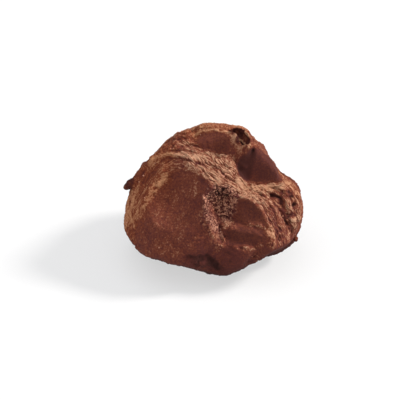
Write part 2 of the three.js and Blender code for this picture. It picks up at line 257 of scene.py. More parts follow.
# A path fades at its ends, over this share of the distance from the heart.
PATH_FADE = 0.12
# Seeds set a noise pattern this many bumps apart from the next.
SEED_STEP = 17.3

# Noise patterns over the lump: the size of their bumps in mm, and seed.
PATTERNS = {
    "patches": (5, 4),     # where the powder settled thicker or thinner
    "wear": (0.8, 5),      # breaks up the single marks
    "wrinkles": (2.2, 6),  # fine wrinkles in the open coat
    "wrinkled": (4, 7),    # the places that have those wrinkles
    "golden": (3.5, 8),    # the places that took on a warm tint
}
# Wrinkles: depth in mm, width as a share of their pattern's bumps, and the powder they lose.
WRINKLE_DEPTH = 0.2
WRINKLE_WIDTH = 0.07
WRINKLE_LOSS = 0.4

# Streaks in dragged powder: length and width in mm, and the seed of the first band's; the others count on.
STREAK_LENGTH = 1.1
STREAK_WIDTH = 0.24
STREAK_SEED = 10
# Cracks between the streaks: how many streaks apart, how wide as a share of that, and how deep for a streak
# one unit high.
CRACK_SPREAD = 1.3
CRACK_WIDTH = 0.07
CRACK_DEPTH = 0.5
CRACK_SEED = 30
# The colour's streaks are drawn out this much along the drag, and lie this many metres apart in each band.
FLOW_STRETCH = 5
FLOW_STEP = 0.01

# Heights in mm between which the coat's relief comes in above the base, and between which the painted shade
# near the floor fades out.
FLATTENED_FROM, FLATTENED_TO = 0.1, 0.8
FLOOR_SHADE_FROM, FLOOR_SHADE_TO = 0.3, 8
# How much of the coat's roughness pressing, cocoa butter and dragging smooth away.
PRESSED_SMOOTHS = 0.9
BUTTER_SMOOTHS = 0.45
DRAG_SMOOTHS = 0.8

# The powder that shows on the open coat, by what brings it there or takes it away; near the floor it is taken
# away as painted shade.
POWDER_SHARES = {"everywhere": 0.28, "settled": 0.15, "thick": 0.3, "patches": 0.15, "floor_shade": -0.9,
                 "crumbly": -0.2, "edges": 0.1}
# Pressing takes this share of it into the ganache and leaves this even film; the darker faces are partly
# painted shade in the pressed hollows.
PRESSED_IN = 0.8
PRESSED_FILM = 0.12
# How much of a mark's gain or loss shows on the open coat, and how much less on a pressed face.
MARK_SHOWS = 0.8
MARK_PRESSED = 0.4
# How much powder a fine bump gains for each mm, and how much of it cocoa butter and pressing take away.
FINE_GAIN = 2.5
FINE_BUTTER = 0.4
FINE_PRESSED = 1.9

# The dark colour that shows, by its cause: bare ganache in chinks between grains, with painted shade in them;
# lost powder; moist places, with painted shade in hollows; painted shade near the floor and again at its
# lowest; painted shade on faces that look down; and faces pressed hard, with painted shade in their hollows,
# all over and in patches.
BARE_AND_SHADE_SHARES = {"chinks": 1, "lost": 0.8, "moist_and_shaded": 0.8, "floor_shade": 0.65, "lowest_floor_shade": 0.2, "downward_shade": 0.2,
               "hard_pressed_and_shaded": 0.25, "hard_pressed_and_shaded_patches": 0.2}
# How much of the golden pattern's tint shows.
GOLDEN_SHARE = 0.4
# Loose grains: how thick among the crumbs, and on thick powder.
LOOSE_CRUMBS = 1.2
LOOSE_THICK = 0.1

# Blur steps that find the lump's edges, and the coat's fine bumps.
EDGE_STEPS = 12
FINE_STEPS = 16
# Vertices of the solid closer than this are one, in mm.
WELD = 0.001

# Patterns of the powder's colour and its finest relief, in mm. A grain of cocoa is about 0.02 mm across, too
# fine to show, so specks, streaks and crumbs are drawn about ten times as coarse. Blotches, where the powder
# has drawn a little moisture, are drawn at their real size.
SPECK = 0.28
STREAK = 0.18
CRUMB = 0.28
BLOTCH = 1.2
BUMP = 0.25

# Sockets of a Mix node that mixes colours, and of a Random Value node that gives one number.
SHARE, FIRST, SECOND, MIXED = 0, 6, 7, 2
LOW, HIGH, NUMBER = 2, 3, 1

# The floor, a card with a low rim standing round it: half its width and the rim's height in metres, and how
# brightly each gives back the studio's light.
FLOOR_HALF = 2.0
FLOOR_RISE = 0.25
FLAT_GLOW = 0.58
STANDING_GLOW = 0.9
# Lamps: the way to each, how wide it is in degrees, its strength and its colour.
LAMPS = {
    "key": ((0.763, 0.135, 0.632), 13.0, 3.9, "#fffcf7"),
    "overhead": ((-0.25, -0.1, 0.97), 80.0, 1.5, "#f9fcff"),
}
LAMP_DISTANCE = 0.5
STUDIO_STRENGTH = 0.3

# The camera: how far it looks down, its distance and the nearest it sees, in metres, and its sensor in mm.
CAMERA_TILT = math.radians(35)
CAMERA_DISTANCE = 0.4
CLIP_START = 0.01
SENSOR = 36
# The picture: its width and scale, and how far its middle lies right of the heart and above it, in pixels.
PICTURE_WIDTH = 400
PIXELS_PER_MM = 6.03
AIM_RIGHT = -13
AIM_UP = -1


def linear(hex_colour):
    """An sRGB hex colour such as #9a6c59 as a linear RGBA tuple."""
    parts = [int(hex_colour[i:i + 2], 16) / 255 for i in (1, 3, 5)]
    return tuple(c / 12.92 if c <= 0.04045 else ((c + 0.055) / 1.055) ** 2.4 for c in parts) + (1.0,)


def add(tree, kind, inputs=None, out=0, **settings):
    """Adds a node with its settings, fills or links its inputs, and returns one of its outputs."""
    node = tree.nodes.new(kind)
    for name, value in settings.items():
        setattr(node, name, value)
    for key, value in (inputs or {}).items():
        if isinstance(value, bpy.types.NodeSocket):
            tree.links.new(value, node.inputs[key])
        else:
            node.inputs[key].default_value = value
    return node.outputs[out]


def way(azimuth, elevation):
    """The unit vector of an azimuth and an elevation in degrees."""
    a, e = math.radians(azimuth), math.radians(elevation)
    return np.array((math.cos(a) * math.cos(e), math.sin(a) * math.cos(e), math.sin(e)))


def ease(x, low, high):
    """0 below low, 1 above high, smooth between them."""
    t = np.clip((x - low) / (high - low), 0, 1)
    return t * t * (3 - 2 * t)


def clouds(points, seed):
    """Smooth noise from -1 to 1 at each point, with bumps about one unit wide."""
    return np.array([noise.noise(point) for point in (points + SEED_STEP * seed).tolist()])


def rows(source, field):
    """The three numbers that each item of a mesh's collection holds in a field, as rows."""
    values = np.empty(len(source) * 3, np.float32)
    source.foreach_get(field, values)
    return values.reshape(-1, 3).astype(float)


def neighbours(mesh):
    """The two ends of every edge of the mesh, and how many edges each vertex has."""
    ends = np.empty(len(mesh.edges) * 2, np.int32)
    mesh.edges.foreach_get("vertices", ends)
    a, b = ends.reshape(-1, 2).T
    return a, b, np.bincount(ends, minlength=len(mesh.vertices))


def blur(values, links, steps):
    """The values averaged with those of their neighbours, some times over."""
    a, b, count = links
    for _ in range(steps):
        around = np.bincount(a, values[b], len(count)) + np.bincount(b, values[a], len(count))
        values = (values + around / count) / 2
    return values


def keep(mesh, layers):
    """Stores each named layer, of one number or one vector a vertex, as an attribute of the mesh."""
    for name, values in layers.items():
        kind, field = ("FLOAT", "value") if values.ndim == 1 else ("FLOAT_VECTOR", "vector")
        attribute = mesh.attributes.new(name, kind, "POINT")
        attribute.data.foreach_set(field, np.ascontiguousarray(values.ravel(), dtype=np.float32))


def fine_relief(mesh, marks, links):
    """How far each vertex stands above the coat around it, in mm, with the single marks left out."""
    height = np.empty(len(mesh.vertices), np.float32)
    mesh.attributes["height"].data.foreach_get("value", height)
    height -= marks
    return (height - blur(height, links, FINE_STEPS)) / MM


class Lump:
    """The bare lump's surface: each vertex's place and normal, and its way and distance from the heart."""

    def __init__(self, mesh):
        self.place = rows(mesh.vertices, "co")
        self.normal = rows(mesh.vertex_normals, "vector")
        self.links = neighbours(mesh)
        self.out = self.place - HEART
        self.reach = np.linalg.norm(self.out, axis=1)
        stray = np.stack([clouds(self.out / (STRAY_LENGTH * MM), seed) for seed in STRAY_SEEDS], 1)
        self.ways = self.out + stray * STRAY * MM
        self.ways /= np.linalg.norm(self.ways, axis=1)[:, None]

    def pattern(self, name):
        """One of the noise patterns, from -1 to 1."""
        size, seed = PATTERNS[name]
        return clouds(self.out / (size * MM), seed)

    def bulge(self):
        """How far the surface bulges at each vertex, in 1/mm, from -1 in a fold to 1 on an edge."""
        a, b, count = self.links
        edge = self.place[b] - self.place[a]
        bend = ((self.normal[b] - self.normal[a]) * edge).sum(1) / (edge ** 2).sum(1)
        around = (np.bincount(a, bend, len(count)) + np.bincount(b, bend, len(count))) / count
        return np.clip(blur(around, self.links, EDGE_STEPS) * MM, -1, 1)

    def inside(self, outline, soft):
        """How far each vertex is inside an outline of ways: 0 to 1 over a soft edge in mm."""
        corners = np.array([way(*corner) for corner in outline])
        centre = corners.mean(0)
        centre /= np.linalg.norm(centre)
        across = np.cross(centre, SLANT)
        across /= np.linalg.norm(across)
        along = np.cross(centre, across)
        flat = np.stack((corners @ across, corners @ along), 1) / (corners @ centre)[:, None]
        depth = self.ways @ centre
        facing = depth > FACING
        spot = np.stack((self.ways @ across, self.ways @ along), 1) / np.where(facing, depth, 1)[:, None]
        nearest = np.full(len(spot), np.inf)
        odd = np.zeros(len(spot), bool)
        for a, b in zip(flat, np.roll(flat, -1, 0)):
            edge = b - a
            share = np.clip((spot - a) @ edge / (edge @ edge), 0, 1)
            nearest = np.minimum(nearest, np.linalg.norm(spot - a - share[:, None] * edge, axis=1))
            crosses = (a[1] > spot[:, 1]) != (b[1] > spot[:, 1])
            # A level edge is never crossed, so any slope does for it.
            at = a[0] + (spot[:, 1] - a[1]) * edge[0] / (edge[1] or 1)
            odd ^= crosses & (spot[:, 0] < at)
        distance = np.where(odd, nearest, -nearest) * self.reach * np.clip(depth, 0, 1)
        return np.where(facing, ease(distance, -soft * MM / 2, soft * MM / 2), 0)

    def strongest(self, outlines, soft):
        """The greatest strength of the outlines that each vertex is inside of, 0 outside them all."""
        most = np.zeros(len(self.ways))
        for outline, strength in outlines.values():
            most = np.maximum(most, strength * self.inside(outline, soft))
        return most

    def beside(self, path):
        """How far along a path and to its side each vertex is, in metres, and its fade at the path's ends."""
        points = np.array([way(*point) for point in path])
        best = np.full(len(self.ways), np.inf)
        along = np.zeros(len(self.ways))
        side = np.zeros(len(self.ways))
        run = 0.0
        for a, b in zip(points, points[1:]):
            edge = b - a
            span = np.linalg.norm(edge)
            share = np.clip((self.ways - a) @ edge / span ** 2, 0, 1)
            gap = self.ways - a - share[:, None] * edge
            distance = np.linalg.norm(gap, axis=1)
            nearer = distance < best
            best = np.where(nearer, distance, best)
            along = np.where(nearer, run + share * span, along)
            side = np.where(nearer, np.sign(gap @ np.cross(edge, a)) * distance, side)
            run += span
        fade = ease(along, 0, PATH_FADE) * ease(run - along, 0, PATH_FADE)
        return along * self.reach, side * self.reach, fade


class Coat:
    """The coat of cocoa powder laid over a lump: one number a vertex for each thing that was done to it."""

    def __init__(self, lump):
        self.lump = lump
        self.patches = lump.pattern("patches")
        # Single marks keep between a quarter of their strength and five quarters of it.
        self.wear = 0.75 + 0.5 * lump.pattern("wear")
        self.pressed = lump.strongest(PRESSED, PRESSED_EDGE)
        self.crumbly = lump.strongest(CRUMBLY, CRUMBLY_EDGE)
        self.warm = lump.strongest(WARM, WARM_EDGE)
        # Painted shade near the floor: full at the floor, fading out upwards.
        self.floor_shade = 1 - ease(lump.place[:, 2], FLOOR_SHADE_FROM * MM, FLOOR_SHADE_TO * MM)
        self.flattened = ease(lump.place[:, 2], FLATTENED_FROM * MM, FLATTENED_TO * MM)
        self.drag()
        self.draw_marks()
        self.darken_moist_and_shaded()
        self.wrinkle()

    def drag(self):
        """Drags powder along the bands: its streaks, how dragged and thick it is, and how it flows."""
        count = len(self.lump.ways)
        self.streaks, self.dragged, self.thick = np.zeros(count), np.zeros(count), np.zeros(count)
        self.flow = self.lump.place.copy()
        for number, (path, half_width, powdered, strength) in enumerate(DRAGGED.values()):
            along, side, fade = self.lump.beside(path)
            share = np.exp(-(side / (half_width * MM)) ** 2) * (1 - self.pressed) * fade
            cell = np.stack((along / (STREAK_LENGTH * MM), side / (STREAK_WIDTH * MM), np.zeros(count)), 1)
            crack = np.exp(-(clouds(cell / CRACK_SPREAD, CRACK_SEED + number) / CRACK_WIDTH) ** 2)
            streak = clouds(cell, STREAK_SEED + number) - CRACK_DEPTH * crack
            run = np.stack((along / FLOW_STRETCH, side, np.full(count, number * FLOW_STEP)), 1)
            strongest = share * strength > self.dragged
            self.streaks = np.where(strongest, streak * share * strength, self.streaks)
            self.flow = np.where(strongest[:, None], run, self.flow)
            self.dragged = np.maximum(self.dragged, share * strength)
            self.thick = np.maximum(self.thick, share * powdered)

    def draw_marks(self):
        """Draws the single marks and the pits: their height, and how much powder they gain or lose; in the
        pits and on some marks this paints shade, and on a few it paints light.
        """
        self.mark, self.gain = np.zeros(len(self.wear)), np.zeros(len(self.wear))
        for path, half_width, height, powdered in MARKS.values():
            side = self.lump.beside(path)[1]
            share = np.exp(-(side / (half_width * MM)) ** 2) * self.wear
            self.mark += height * MM * share
            self.gain += powdered * share
        for azimuth, elevation, radius, depth in PITS:
            apart = np.linalg.norm(self.lump.ways - way(azimuth, elevation), axis=1) * self.lump.reach
            share = np.exp(-(apart / (radius * MM)) ** 2)
            self.mark -= depth * MM * share
            self.gain -= PIT_SHADE * share

    def darken_moist_and_shaded(self):
        """Darkens the crater, the spur's tip and a few more places: moist ganache in the crater, and painted
        shade there and in the others, but not where powder was gained.
        """
        outline, strength, start = SPUR_TIP
        tip = self.lump.inside(outline, MOIST_AND_SHADED_EDGE)
        tip *= ease(self.lump.reach, start * MM, (start + SPUR_TIP_FADE) * MM)
        moist_and_shaded = np.maximum(self.lump.strongest(MOIST_AND_SHADED, MOIST_AND_SHADED_EDGE), strength * tip)
        self.moist_and_shaded = moist_and_shaded * (1 - np.clip(self.gain, 0, 1))

    def wrinkle(self):
        """Wrinkles the open coat, in some places."""
        wrinkle = np.exp(-(self.lump.pattern("wrinkles") / WRINKLE_WIDTH) ** 2)
        untouched = (1 - np.maximum(self.pressed, self.crumbly)) * (1 - self.dragged)
        wrinkle *= ease(self.lump.pattern("wrinkled"), -0.1, 0.4) * untouched
        self.mark -= WRINKLE_DEPTH * MM * wrinkle
        self.gain -= WRINKLE_LOSS * wrinkle

    def relief(self):
        """The layers that the relief and the patterns of the colour follow."""
        smoothed = 1 - PRESSED_SMOOTHS * self.pressed
        return {
            "rough": smoothed * (1 - BUTTER_SMOOTHS * self.warm),
            "coarse": smoothed * (1 - DRAG_SMOOTHS * self.dragged) * self.flattened,
            "dragged": self.dragged,
            "flow": self.flow,
            "crumb": self.crumbly,
            "drag": self.streaks * self.flattened,
            "mark": self.mark * self.flattened,
        }

    def dust_and_painted_light(self, fine):
        """How pale the coat is, 0 to 1: how much powder shows, 0 on dark ganache, 1 on dry powder, lowered as
        painted shade near the floor, on pressed hollows and under some marks, and raised as painted light on
        a few. The fine relief is in mm.
        """
        causes = {
            "everywhere": 1,
            "settled": ease(self.lump.normal[:, 2] + 0.25 * self.patches, -0.35, 0.75),
            "thick": self.thick,
            "patches": self.patches,
            "floor_shade": self.floor_shade,
            "crumbly": self.crumbly,
            "edges": self.lump.bulge(),
        }
        dust_and_painted_light = sum(share * causes[name] for name, share in POWDER_SHARES.items())
        dust_and_painted_light = dust_and_painted_light * (1 - PRESSED_IN * self.pressed) + PRESSED_FILM * ease(self.pressed, 0.5, 1.0)
        dust_and_painted_light = dust_and_painted_light + self.gain * (MARK_SHOWS - MARK_PRESSED * self.pressed) - self.moist_and_shaded
        held = (1 - FINE_BUTTER * self.warm) * np.clip(1 - FINE_PRESSED * self.pressed, 0, 1)
        return np.clip(dust_and_painted_light + FINE_GAIN * fine * held, 0, 1)

    def bare_and_painted_shade(self, fine):
        """How much dark colour shows, 0 to 1: bare ganache, and painted shade near the floor, on faces that
        look down, and in chinks, pits, grooves and hollows.
        """
        causes = {
            "chinks": ease(-fine, 0.05, 0.2) * (0.7 - 0.4 * self.thick) * (1 - 0.5 * self.crumbly),
            "lost": ease(-self.gain, 0.4, 1.0),
            "moist_and_shaded": self.moist_and_shaded,
            "floor_shade": self.floor_shade,
            "lowest_floor_shade": self.floor_shade ** 2,
            "downward_shade": ease(-self.lump.normal[:, 2], 0.2, 0.9),
            "hard_pressed_and_shaded": ease(self.pressed, 0.7, 1.0),
            "hard_pressed_and_shaded_patches": ease(self.pressed, 0.5, 1.0) * ease(self.patches, -0.3, 0.5),
        }
        return np.clip(sum(share * causes[name] for name, share in BARE_AND_SHADE_SHARES.items()), 0, 1)

    def tint(self):
        """How much of the warm tint shows, 0 to 1: not on pressed faces, unless powder was gained there."""
        held = self.pressed * (1 - np.clip(2 * self.gain, 0, 1))
        golden = ease(self.lump.pattern("golden"), -0.1, 0.5) * (1 - self.thick) * (1 - self.pressed)
        return np.clip(self.warm * (1 - held) + GOLDEN_SHARE * golden, 0, 1)

    def loose(self):
        """How thickly loose grains lie, 0 to 1: among the crumbs, and a few on thick powder."""
        crumbs = ease(self.crumbly, 0.8, 1.0) * ease(self.wear, 0.5, 0.9)
        loose = LOOSE_CRUMBS * crumbs + LOOSE_THICK * self.thick
        return np.clip(loose, 0, 1) * (1 - self.moist_and_shaded) * (1 - self.pressed)


def new_object(name, data):
    """A new object in the scene that shows a mesh, a light or a camera."""
    thing = bpy.data.objects.new(name, data)
    bpy.context.scene.collection.objects.link(thing)
    return thing


def grow(thing, tree, inputs):
    """Runs a geometry node tree on an object and leaves its result as the object's plain mesh."""
    modifier = thing.modifiers.new(tree.name, "NODES")
    modifier.node_group = tree
    for item in tree.interface.items_tree:
        if item.item_type == "SOCKET" and item.in_out == "INPUT" and item.name in inputs:
            modifier[item.identifier] = inputs[item.name]
    bpy.context.view_layer.update()
    depsgraph = bpy.context.evaluated_depsgraph_get()
    mesh = bpy.data.meshes.new_from_object(thing.evaluated_get(depsgraph), preserve_all_data_layers=True,
                                           depsgraph=depsgraph)
    thing.modifiers.clear()
    if not mesh.polygons:
        raise RuntimeError(f"{thing.name} has no faces after {tree.name}")
    old, thing.data = thing.data, mesh
    bpy.data.meshes.remove(old)
    mesh.name = thing.name
    return mesh


def new_tree(name, inputs):
    """A geometry node tree with a geometry input and named inputs of the kinds given."""
    tree = bpy.data.node_groups.new(name, "GeometryNodeTree")
    tree.is_modifier = True
    tree.interface.new_socket("Geometry", in_out="INPUT", socket_type="NodeSocketGeometry")
    tree.interface.new_socket("Geometry", in_out="OUTPUT", socket_type="NodeSocketGeometry")
    for label, kind in inputs.items():
        tree.interface.new_socket(label, in_out="INPUT", socket_type="NodeSocket" + kind)
    source = tree.nodes.new("NodeGroupInput")
    return tree, {socket.name: socket for socket in source.outputs if socket.name}


def end_tree(tree, mesh, material):
    """Ends a tree with its instances made real and its material set."""
    mesh = add(tree, "GeometryNodeRealizeInstances", {"Geometry": mesh})
    mesh = add(tree, "GeometryNodeSetMaterial", {"Geometry": mesh, "Material": material})
    tree.links.new(mesh, tree.nodes.new("NodeGroupOutput").inputs[0])
    return tree


def fine_tree():
    """Joins the loose triangles, splits each in three and those in four, and rounds the faceted result."""
    tree, given = new_tree("fine surface", {"Gap": "Float", "Levels": "Int", "Rounding": "Int",
                                            "Material": "Material"})
    mesh = add(tree, "GeometryNodeMergeByDistance",
               {"Geometry": given["Geometry"], "Distance": given["Gap"]})
    mesh = add(tree, "GeometryNodeSubdivideMesh", {"Mesh": mesh, "Level": given["Levels"]})
    place = add(tree, "GeometryNodeInputPosition")
    soft = add(tree, "GeometryNodeBlurAttribute", {"Value": place, "Iterations": given["Rounding"]},
               data_type="FLOAT_VECTOR")
    mesh = add(tree, "GeometryNodeSetPosition", {"Geometry": mesh, "Position": soft})
    return end_tree(tree, mesh, given["Material"])


def coat_tree():
    """Raises clumps, grains, crumbs, streaks and marks as the layers say, and keeps the height as another."""
    tree, given = new_tree("powder coat", {
        "Clump size": "Float", "Clump height": "Float", "Grain size": "Float", "Grain height": "Float",
        "Drag height": "Float", "Crumb size": "Float", "Crumb height": "Float", "Seed": "Int",
        "Material": "Material"})
    coarse, crumb, drag, mark = (
        add(tree, "GeometryNodeInputNamedAttribute", {"Name": name}, data_type="FLOAT")
        for name in ("coarse", "crumb", "drag", "mark"))
    place = add(tree, "GeometryNodeInputPosition")
    heights = []
    for kind, detail in (("Clump", 1.0), ("Grain", 2.0)):
        scale = add(tree, "ShaderNodeMath", {0: 1.0, 1: given[kind + " size"]}, operation="DIVIDE")
        pattern = add(tree, "ShaderNodeTexNoise", {"Vector": place, "W": given["Seed"], "Scale": scale,
                                                   "Detail": detail, "Roughness": 0.6},
                      noise_dimensions="4D")
        centred = add(tree, "ShaderNodeMath", {0: pattern, 1: 0.5}, operation="SUBTRACT")
        tall = add(tree, "ShaderNodeMath", {0: centred, 1: given[kind + " height"]}, operation="MULTIPLY")
        heights.append(add(tree, "ShaderNodeMath", {0: tall, 1: coarse}, operation="MULTIPLY"))
    scale = add(tree, "ShaderNodeMath", {0: 1.0, 1: given["Crumb size"]}, operation="DIVIDE")
    cells = add(tree, "ShaderNodeTexVoronoi", {"Vector": place, "W": given["Seed"], "Scale": scale},
                voronoi_dimensions="4D")
    dome = add(tree, "ShaderNodeMath", {0: 0.5, 1: cells}, operation="SUBTRACT")
    tall = add(tree, "ShaderNodeMath", {0: dome, 1: given["Crumb height"]}, operation="MULTIPLY")
    heights.append(add(tree, "ShaderNodeMath", {0: tall, 1: crumb}, operation="MULTIPLY"))
    heights.append(add(tree, "ShaderNodeMath", {0: drag, 1: given["Drag height"]}, operation="MULTIPLY"))
    heights.append(mark)
    total = heights[0]
    for height in heights[1:]:
        total = add(tree, "ShaderNodeMath", {0: total, 1: height}, operation="ADD")
    normal = add(tree, "GeometryNodeInputNormal")
    offset = add(tree, "ShaderNodeVectorMath", {0: normal, "Scale": total}, operation="SCALE")
    mesh = add(tree, "GeometryNodeStoreNamedAttribute",
               {"Geometry": given["Geometry"], "Name": "height", "Value": total}, data_type="FLOAT")
    mesh = add(tree, "GeometryNodeSetPosition", {"Geometry": mesh, "Offset": offset})
    return end_tree(tree, mesh, given["Material"])


def grains_tree():
    """Scatters small lumps of powder over the surface, as thickly as the layer named loose says."""
    tree, given = new_tree("loose grains", {
        "Grains per square metre": "Float", "Smallest": "Float", "Largest": "Float", "Seed": "Int",
        "Material": "Material"})
    loose = add(tree, "GeometryNodeInputNamedAttribute", {"Name": "loose"}, data_type="FLOAT")
    density = add(tree, "ShaderNodeMath", {0: loose, 1: given["Grains per square metre"]},
                  operation="MULTIPLY")
    scatter = add(tree, "GeometryNodeDistributePointsOnFaces",
                  {"Mesh": given["Geometry"], "Density": density, "Seed": given["Seed"]},
                  distribute_method="RANDOM")
    ball = add(tree, "GeometryNodeMeshIcoSphere", {"Radius": 1.0, "Subdivisions": 1})
    turn = add(tree, "FunctionNodeRandomValue",
               {"Min": (0, 0, 0), "Max": (math.tau, math.tau, math.tau), "Seed": given["Seed"]},
               data_type="FLOAT_VECTOR")
    # The third power of chance makes most grains small and only a few large.
    chance = add(tree, "FunctionNodeRandomValue", {LOW: 0.0, HIGH: 1.0, "Seed": given["Seed"]}, out=NUMBER,
                 data_type="FLOAT")
    chance = add(tree, "ShaderNodeMath", {0: chance, 1: 3.0}, operation="POWER")
    size = add(tree, "ShaderNodeMapRange", {"Value": chance, "To Min": given["Smallest"],
                                            "To Max": given["Largest"]})
    squash = add(tree, "FunctionNodeRandomValue",
                 {"Min": (0.6, 0.6, 0.6), "Max": (1.3, 1.3, 1.3), "Seed": given["Seed"]},
                 data_type="FLOAT_VECTOR")
    scale = add(tree, "ShaderNodeVectorMath", {0: squash, "Scale": size}, operation="SCALE")
    grains = add(tree, "GeometryNodeInstanceOnPoints",
                 {"Points": scatter, "Instance": ball, "Rotation": turn, "Scale": scale})
    tone = add(tree, "FunctionNodeRandomValue", {LOW: 0.0, HIGH: 1.0, "Seed": given["Seed"]}, out=NUMBER,
               data_type="FLOAT")
    grains = add(tree, "GeometryNodeStoreNamedAttribute",
                 {"Geometry": grains, "Name": "tone", "Value": tone}, data_type="FLOAT", domain="INSTANCE")
    return end_tree(tree, grains, given["Material"])


def dry_material(name):
    """A new material with the dull surface of dry cocoa powder, and its shader."""
    material = bpy.data.materials.new(name)
    material.use_nodes = True
    shader = material.node_tree.nodes["Principled BSDF"]
    shader.inputs["Roughness"].default_value = 0.95
    shader.inputs["Specular IOR Level"].default_value = 0.15
    return material, shader


def opaque(shade):
    """A colour of the property group as RGBA."""
    return tuple(shade) + (1.0,)


def cocoa_powder(colours):
    """Cocoa powder sifted over moist ganache and pressed, dragged and crumbled by hand."""
    # Fine dry powder scatters light evenly, so the eye sees no gloss. It sees a pale, grainy bloom where the
    # powder lies thick, fine streaks where it was dragged, and a plain, dark, redder skin where the moist
    # ganache has drawn it in. Its colour also holds painted shade, near the floor, on faces that look down
    # and in grooves, pits and hollows, and painted light on a few paler places.
    material, shader = dry_material("cocoa powder on ganache, sifted and pressed")
    tree = material.node_tree
    dust_and_painted_light, deep, warm, rough, dragged, crumb = (
        add(tree, "ShaderNodeAttribute", out="Fac", attribute_name=name)
        for name in ("dust_and_painted_light", "deep", "warm", "rough", "dragged", "crumb"))
    flow = add(tree, "ShaderNodeAttribute", out="Vector", attribute_name="flow")
    place = add(tree, "ShaderNodeTexCoord", out="Object")

    # Specks on the open coat, and streaks that run with the drag, shift the amount of powder that shows.
    speck = add(tree, "ShaderNodeTexNoise", {"Vector": place, "Scale": 1 / (SPECK * MM), "Detail": 3.0,
                                             "Roughness": 0.7})
    streak = add(tree, "ShaderNodeTexNoise", {"Vector": flow, "Scale": 1 / (STREAK * MM), "Detail": 2.0,
                                              "Roughness": 0.6})
    grain = add(tree, "ShaderNodeMix", {"Factor": dragged, "A": speck, "B": streak})
    contrast = add(tree, "ShaderNodeMath", {0: rough, 1: rough}, operation="MULTIPLY")
    contrast = add(tree, "ShaderNodeMath", {0: contrast, 1: 0.18, 2: 0.28}, operation="MULTIPLY_ADD")
    contrast = add(tree, "ShaderNodeMath", {0: dragged, 1: 0.14, 2: contrast}, operation="MULTIPLY_ADD")
    shift = add(tree, "ShaderNodeMapRange", {"Value": grain, "From Min": 0.35, "From Max": 0.65,
                                             "To Min": -1.0, "To Max": 1.0})
    shift = add(tree, "ShaderNodeMath", {0: shift, 1: contrast}, operation="MULTIPLY")
    blotch = add(tree, "ShaderNodeTexNoise", {"Vector": place, "Scale": 1 / (BLOTCH * MM), "Detail": 2.0})
    blotch = add(tree, "ShaderNodeMapRange", {"Value": blotch, "From Min": 0.3, "From Max": 0.7,
                                              "To Min": -0.2, "To Max": 0.2})
    blotch = add(tree, "ShaderNodeMath", {0: blotch, 1: rough}, operation="MULTIPLY")
    shift = add(tree, "ShaderNodeMath", {0: shift, 1: blotch}, operation="ADD")
    amount = add(tree, "ShaderNodeMath", {0: dust_and_painted_light, 1: shift}, operation="ADD", use_clamp=True)
    ramp = add(tree, "ShaderNodeValToRGB", {"Fac": amount}).node
    stops = ((0.0, colours.pressed), (0.45, colours.middle), (1.0, colours.powder))
    while len(ramp.color_ramp.elements) < len(stops):
        ramp.color_ramp.elements.new(0.5)
    for element, (at, shade) in zip(ramp.color_ramp.elements, stops):
        element.position = at
        element.color = opaque(shade)

    # Crumbs, each of a tone of its own, with dark gaps between them.
    cells = add(tree, "ShaderNodeTexVoronoi", {"Vector": place, "Scale": 1 / (CRUMB * MM)}).node
    tone = add(tree, "ShaderNodeSeparateColor", {"Color": cells.outputs["Color"]})
    tone = add(tree, "ShaderNodeMapRange", {"Value": tone, "From Min": 0.3, "From Max": 1.0,
                                            "To Min": -0.35, "To Max": 1.9})
    tone = add(tree, "ShaderNodeMath", {0: dust_and_painted_light, 1: 0.4, 2: tone}, operation="MULTIPLY_ADD")
    gap = add(tree, "ShaderNodeMapRange", {"Value": cells.outputs["Distance"], "From Min": 0.3,
                                           "From Max": 0.7, "To Min": 0.0, "To Max": 0.6})
    tone = add(tree, "ShaderNodeMath", {0: tone, 1: gap}, operation="SUBTRACT", use_clamp=True)
    torn = add(tree, "ShaderNodeMix", {SHARE: tone, FIRST: opaque(colours.pressed),
                                       SECOND: opaque(colours.crumb)}, out=MIXED, data_type="RGBA")

    # The warm tint of cocoa butter lies over both, and bare ganache with painted shade over all.
    base = add(tree, "ShaderNodeMix", {SHARE: crumb, FIRST: ramp.outputs["Color"], SECOND: torn}, out=MIXED,
               data_type="RGBA")
    base = add(tree, "ShaderNodeMix", {SHARE: warm, FIRST: base, SECOND: opaque(colours.warm)}, out=MIXED,
               data_type="RGBA", blend_type="MULTIPLY")
    base = add(tree, "ShaderNodeMix", {SHARE: deep, FIRST: base, SECOND: opaque(colours.deep)}, out=MIXED,
               data_type="RGBA")
    tree.links.new(base, shader.inputs["Base Color"])

    # What is too fine for the mesh only turns the light: specks and streaks, or the domes of crumbs.
    dome = add(tree, "ShaderNodeMapRange", {"Value": cells.outputs["Distance"], "From Min": 0.0,
                                            "From Max": 0.7, "To Min": 1.0, "To Max": 0.0})
    relief = add(tree, "ShaderNodeMix", {"Factor": crumb, "A": grain, "B": dome})
    relief = add(tree, "ShaderNodeMath", {0: relief, 1: rough}, operation="MULTIPLY")
    bump = add(tree, "ShaderNodeBump", {"Strength": 1.0, "Distance": BUMP * MM, "Height": relief})
    tree.links.new(bump, shader.inputs["Normal"])
    return material


def loose_cocoa(colours):
    """Loose grains of cocoa, dried and crumbled off the coat."""
    # Dry grains have no gloss either, and each is a little lighter or darker than the next, so the eye picks
    # them out from the coat one by one.
    material, shader = dry_material("loose cocoa grains, dry")
    tree = material.node_tree
    tone = add(tree, "ShaderNodeAttribute", out="Fac", attribute_name="tone")
    base = add(tree, "ShaderNodeMix", {SHARE: tone, FIRST: opaque(colours.middle),
                                       SECOND: opaque(colours.crumb)}, out=MIXED, data_type="RGBA")
    tree.links.new(base, shader.inputs["Base Color"])
    return material


